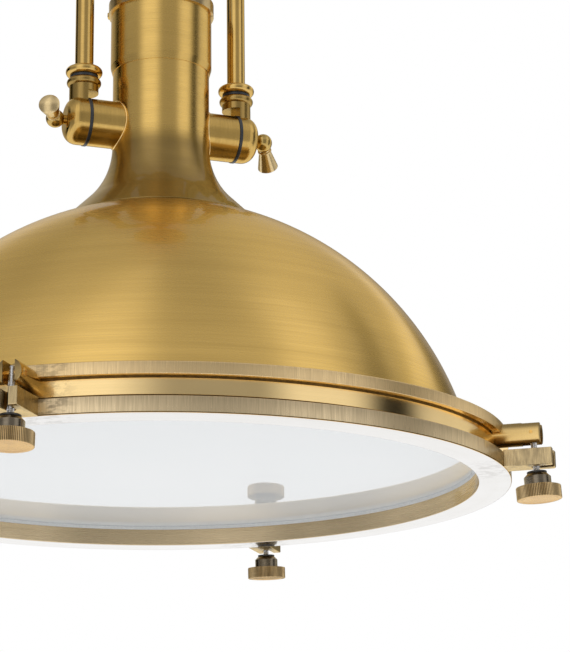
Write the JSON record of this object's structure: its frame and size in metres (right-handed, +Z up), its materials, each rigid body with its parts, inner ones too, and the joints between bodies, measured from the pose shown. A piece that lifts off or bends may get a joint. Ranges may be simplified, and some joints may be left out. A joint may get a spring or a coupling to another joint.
{
  "type": "pendant lamp",
  "caption": "Brass pendant lamp: domed shade with a glass disc in a ring held by swing-bolt clamps, on a flared neck that tilts in a clamped yoke under a ceiling cup.",
  "frame": {"origin": "middle of the ceiling face, on top of the ceiling strap", "axes": "+Z up to the ceiling, X along the tilt axis through both barrels, +Y away from the side that the picture shows"},
  "size_m": [0.4399, 0.44, 0.6608],
  "materials": {
    "spun_brass": "aged, lacquered, brushed round the axis",
    "rim_brass": "aged, lacquered, brushed across",
    "tube_brass": "aged, lacquered, satin",
    "knurled_brass": "aged, turned and knurled",
    "polished_brass": "polished",
    "bright_steel": "zinc plated",
    "dark_steel": "blackened",
    "black_rubber": "smooth",
    "white_seal": "matte",
    "frosted_glass": "frosted inside, gloss outside",
    "white_plastic": "moulded",
    "white_ceramic": "glazed",
    "contact_brass": "bright"
  },
  "bodies": {
    "yoke": {"ceiling_strap": "bright_steel", "canopy": "spun_brass", "canopy_screws": "polished_brass", "terminal_block": "white_plastic", "canopy_nipple": "bright_steel", "nipple_nut": "bright_steel", "stem_rings": "tube_brass", "stem_tube": "tube_brass", "yoke_hub": "tube_brass", "crossbar": "tube_brass", "left_elbow": "tube_brass", "right_elbow": "tube_brass", "left_rod": "tube_brass", "right_rod": "tube_brass", "left_lock_ring": "tube_brass", "right_lock_ring": "tube_brass", "rod_seals": "black_rubber", "left_swivel_cap": "rim_brass", "right_swivel_cap": "rim_brass", "tilt_gaskets": "black_rubber"},
    "shade": {"left_barrel": "rim_brass", "right_barrel": "rim_brass", "neck": "spun_brass", "neck_sleeve": "spun_brass", "neck_cap": "spun_brass", "cap_screws": "polished_brass", "cable_gland": "polished_brass", "gland_nut": "polished_brass", "neck_plate": "bright_steel", "dome": "spun_brass", "dome_plate": "bright_steel", "plate_screws": "bright_steel", "holder_tube": "bright_steel", "holder_body": "white_ceramic", "holder_shell": "contact_brass", "holder_contact": "contact_brass", "rim_flange": "rim_brass", "rim_band": "rim_brass", "glass_ring": "rim_brass", "ring_forks": "rim_brass", "clevis_bars": "rim_brass", "clevis_pins": "polished_brass", "glass": "frosted_glass", "glass_seal": "white_seal"},
    "left_lever": {"left_lever": "polished_brass", "left_handle": "polished_brass"},
    "right_lever": {"right_lever": "polished_brass", "right_handle": "polished_brass"},
    "bolt_1": {"swing_bolt_1": "bright_steel"},
    "washer_1": {"washer_1": "dark_steel"},
    "nut_1": {"thumb_nut_1": "knurled_brass"},
    "bolt_2": {"swing_bolt_2": "bright_steel"},
    "washer_2": {"washer_2": "dark_steel"},
    "nut_2": {"thumb_nut_2": "knurled_brass"},
    "bolt_3": {"swing_bolt_3": "bright_steel"},
    "washer_3": {"washer_3": "dark_steel"},
    "nut_3": {"thumb_nut_3": "knurled_brass"},
    "bolt_4": {"swing_bolt_4": "bright_steel"},
    "washer_4": {"washer_4": "dark_steel"},
    "nut_4": {"thumb_nut_4": "knurled_brass"}
  },
  "joints": [
    {"name": "shade_tilt", "type": "hinge", "parent": "yoke", "child": "shade", "pos_m": [0, 0, -0.399], "axis": [1, 0, 0], "range_deg": [-50, 50]},
    {"name": "left_clamp_turn", "type": "hinge", "parent": "yoke", "child": "left_lever", "pos_m": [-0.0714, 0, -0.399], "axis": [1, 0, 0], "range_deg": [0, 90]},
    {"name": "right_clamp_turn", "type": "hinge", "parent": "yoke", "child": "right_lever", "pos_m": [0.0714, 0, -0.399], "axis": [1, 0, 0], "range_deg": [0, 90]},
    {"name": "bolt_1_swing", "type": "hinge", "parent": "shade", "child": "bolt_1", "pos_m": [0.19084, -0.14019, -0.61973], "axis": [-0.592, -0.8059, 0], "range_deg": [0, 95]},
    {"name": "washer_1_slide", "type": "slide", "parent": "bolt_1", "child": "washer_1", "axis": [-0.0492, 0.0361, 0.9981], "range_m": [-0.0021, 0.0021]},
    {"name": "nut_1_turn", "type": "hinge", "parent": "washer_1", "child": "nut_1", "pos_m": [0.19084, -0.14019, -0.61973], "axis": [-0.0492, 0.0361, 0.9981], "range_deg": [-1080, 1080]},
    {"name": "bolt_2_swing", "type": "hinge", "parent": "shade", "child": "bolt_2", "pos_m": [0.14019, 0.19084, -0.61973], "axis": [0.8059, -0.592, 0], "range_deg": [0, 95]},
    {"name": "washer_2_slide", "type": "slide", "parent": "bolt_2", "child": "washer_2", "axis": [-0.0361, -0.0492, 0.9981], "range_m": [-0.0021, 0.0021]},
    {"name": "nut_2_turn", "type": "hinge", "parent": "washer_2", "child": "nut_2", "pos_m": [0.14019, 0.19084, -0.61973], "axis": [-0.0361, -0.0492, 0.9981], "range_deg": [-1080, 1080]},
    {"name": "bolt_3_swing", "type": "hinge", "parent": "shade", "child": "bolt_3", "pos_m": [-0.19084, 0.14019, -0.61973], "axis": [0.592, 0.8059, 0], "range_deg": [0, 95]},
    {"name": "washer_3_slide", "type": "slide", "parent": "bolt_3", "child": "washer_3", "axis": [0.0492, -0.0361, 0.9981], "range_m": [-0.0021, 0.0021]},
    {"name": "nut_3_turn", "type": "hinge", "parent": "washer_3", "child": "nut_3", "pos_m": [-0.19084, 0.14019, -0.61973], "axis": [0.0492, -0.0361, 0.9981], "range_deg": [-1080, 1080]},
    {"name": "bolt_4_swing", "type": "hinge", "parent": "shade", "child": "bolt_4", "pos_m": [-0.14019, -0.19084, -0.61973], "axis": [-0.8059, 0.592, 0], "range_deg": [0, 95]},
    {"name": "washer_4_slide", "type": "slide", "parent": "bolt_4", "child": "washer_4", "axis": [0.0361, 0.0492, 0.9981], "range_m": [-0.0021, 0.0021]},
    {"name": "nut_4_turn", "type": "hinge", "parent": "washer_4", "child": "nut_4", "pos_m": [-0.14019, -0.19084, -0.61973], "axis": [0.0361, 0.0492, 0.9981], "range_deg": [-1080, 1080]}
  ],
  "couplings": [
    {"joint": "nut_1_turn", "follows": "washer_1_slide", "rad_per_m": 8976},
    {"joint": "nut_2_turn", "follows": "washer_2_slide", "rad_per_m": 8976},
    {"joint": "nut_3_turn", "follows": "washer_3_slide", "rad_per_m": 8976},
    {"joint": "nut_4_turn", "follows": "washer_4_slide", "rad_per_m": 8976}
  ]
}
